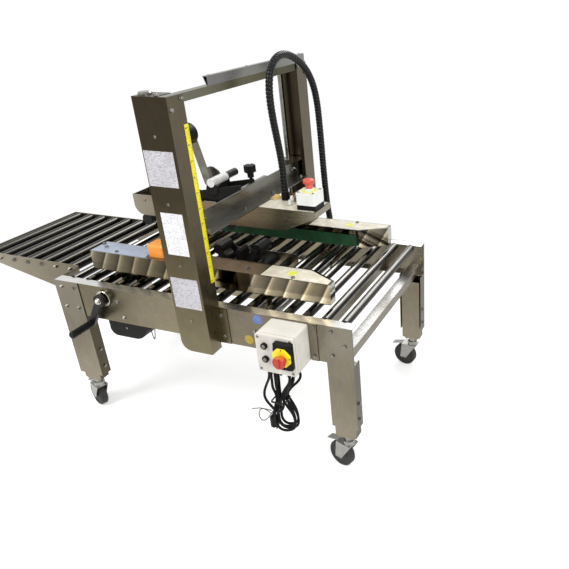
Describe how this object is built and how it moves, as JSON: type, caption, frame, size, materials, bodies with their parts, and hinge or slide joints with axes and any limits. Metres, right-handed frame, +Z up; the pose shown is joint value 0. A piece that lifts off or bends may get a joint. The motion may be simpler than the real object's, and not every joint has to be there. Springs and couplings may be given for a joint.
{
  "type": "case sealer",
  "caption": "Carton taping machine with a roller bed on castered legs, an infeed extension, side belt drives and a tape head that rides on screws between columns.",
  "frame": {"origin": "on the floor, under the middle of the machine's outline", "axes": "+X runs with the cartons from the infeed extension to the outfeed end, +Y points across the lane away from the control box side, +Z is up"},
  "size_m": [1.729, 0.931, 1.3466],
  "materials": {
    "stainless": "brushed stainless sheet",
    "polished": "polished steel bar",
    "roller_steel": "dark polished roller tube",
    "belt": "dark green grip belt",
    "black_plastic": "matt black",
    "black_rubber": "dark grey rubber",
    "cable": "black cable sheath",
    "orange_plastic": "orange moulding",
    "box_paint": "off-white paint",
    "white_plastic": "white moulding",
    "red_plastic": "red moulding",
    "yellow_tape": "yellow scale",
    "zinc": "zinc plate"
  },
  "bodies": {
    "bed": {"side_rails": "stainless", "bed_cross_members": "stainless", "bed_rollers": "roller_steel", "screw_bearings": "polished", "infeed_frame": "stainless", "infeed_rollers": "roller_steel", "infeed_legs": "stainless", "outfeed_legs": "stainless", "leg_extensions": "stainless", "columns": "stainless", "top_beam": "stainless", "chain_cover": "stainless", "lift_screws": "polished", "height_ruler": "yellow_tape", "width_guide_rods": "polished", "bottom_tape_head": "stainless", "bottom_head_rollers": "black_plastic", "drive_motor": "black_plastic", "control_box": "box_paint", "box_controls": "black_plastic", "cable_glands": "black_plastic", "mains_lead": "cable", "mains_hank": "cable", "mains_plug": "black_plastic", "head_hose": "cable"},
    "head": {"head_crossbar": "stainless", "lift_carriages": "stainless", "head_housing": "stainless", "tape_head_plates": "black_plastic", "tape_head_rollers": "black_rubber", "reel_arm": "black_plastic", "stop_box_base": "black_plastic", "stop_box_lid": "white_plastic", "head_hose_gland": "black_plastic"},
    "tape_reel": {"tape_reel_hub": "black_plastic"},
    "stop_button": {"stop_button": "red_plastic"},
    "main_switch": {"switch_knob": "red_plastic"},
    "near_drive": {"near_drive_cover": "stainless", "near_drive_frame": "stainless", "near_drive_belt": "belt", "near_pulley_cap": "orange_plastic"},
    "far_drive": {"far_drive_cover": "stainless", "far_drive_frame": "stainless", "far_drive_belt": "belt", "far_pulley_cap": "orange_plastic"},
    "width_crank": {"width_crank": "polished", "crank_grip": "black_plastic"},
    "near_infeed_swivel": {"near_infeed_caster_fork": "zinc"},
    "near_infeed_wheel": {"near_infeed_caster_wheel": "black_rubber"},
    "far_infeed_swivel": {"far_infeed_caster_fork": "zinc"},
    "far_infeed_wheel": {"far_infeed_caster_wheel": "black_rubber"},
    "near_outfeed_swivel": {"near_outfeed_caster_fork": "zinc"},
    "near_outfeed_wheel": {"near_outfeed_caster_wheel": "black_rubber"},
    "far_outfeed_swivel": {"far_outfeed_caster_fork": "zinc"},
    "far_outfeed_wheel": {"far_outfeed_caster_wheel": "black_rubber"}
  },
  "joints": [
    {"name": "head_lift", "type": "slide", "parent": "bed", "child": "head", "axis": [0, 0, 1], "range_m": [-0.04, 0.3], "deforming": ["head_hose"]},
    {"name": "width_crank_turn", "type": "hinge", "parent": "bed", "child": "width_crank", "pos_m": [-0.122, -0.3535, 0.543], "axis": [0, 1, 0], "range_deg": [-1980, 4320]},
    {"name": "near_drive_slide", "type": "slide", "parent": "bed", "child": "near_drive", "axis": [0, 1, 0], "range_m": [-0.0555, 0.1205]},
    {"name": "far_drive_slide", "type": "slide", "parent": "bed", "child": "far_drive", "axis": [0, -1, 0], "range_m": [-0.0555, 0.1205]},
    {"name": "tape_reel_spin", "type": "hinge", "parent": "head", "child": "tape_reel", "pos_m": [0.085, 0.0135, 1.072], "axis": [0, 1, 0], "continuous": true},
    {"name": "main_switch_turn", "type": "hinge", "parent": "bed", "child": "main_switch", "pos_m": [0.68, -0.4635, 0.514], "axis": [0, 1, 0], "range_deg": [0, 90]},
    {"name": "stop_button_press", "type": "slide", "parent": "head", "child": "stop_button", "axis": [0, 0, -1], "range_m": [0, 0.004]},
    {"name": "near_infeed_swivel_turn", "type": "hinge", "parent": "bed", "child": "near_infeed_swivel", "pos_m": [-0.293, -0.3075, 0.14], "axis": [0, 0, 1], "continuous": true},
    {"name": "near_infeed_wheel_roll", "type": "hinge", "parent": "near_infeed_swivel", "child": "near_infeed_wheel", "pos_m": [-0.32731, -0.29364, 0.05], "axis": [0.3746, 0.9272, 0], "continuous": true},
    {"name": "far_infeed_swivel_turn", "type": "hinge", "parent": "bed", "child": "far_infeed_swivel", "pos_m": [-0.293, 0.3805, 0.14], "axis": [0, 0, 1], "continuous": true},
    {"name": "far_infeed_wheel_roll", "type": "hinge", "parent": "far_infeed_swivel", "child": "far_infeed_wheel", "pos_m": [-0.3289, 0.37155, 0.05], "axis": [-0.2419, 0.9703, 0], "continuous": true},
    {"name": "near_outfeed_swivel_turn", "type": "hinge", "parent": "bed", "child": "near_outfeed_swivel", "pos_m": [0.8185, -0.3075, 0.14], "axis": [0, 0, 1], "continuous": true},
    {"name": "near_outfeed_wheel_roll", "type": "hinge", "parent": "near_outfeed_swivel", "child": "near_outfeed_wheel", "pos_m": [0.78331, -0.29607, 0.05], "axis": [0.309, 0.9511, 0], "continuous": true},
    {"name": "far_outfeed_swivel_turn", "type": "hinge", "parent": "bed", "child": "far_outfeed_swivel", "pos_m": [0.8185, 0.3805, 0.14], "axis": [0, 0, 1], "continuous": true},
    {"name": "far_outfeed_wheel_roll", "type": "hinge", "parent": "far_outfeed_swivel", "child": "far_outfeed_wheel", "pos_m": [0.78196, 0.38629, 0.05], "axis": [0.1564, 0.9877, 0], "continuous": true}
  ],
  "couplings": [
    {"joint": "near_drive_slide", "follows": "width_crank_turn", "m_per_rad": 0.0015915},
    {"joint": "far_drive_slide", "follows": "width_crank_turn", "m_per_rad": 0.0015915}
  ]
}
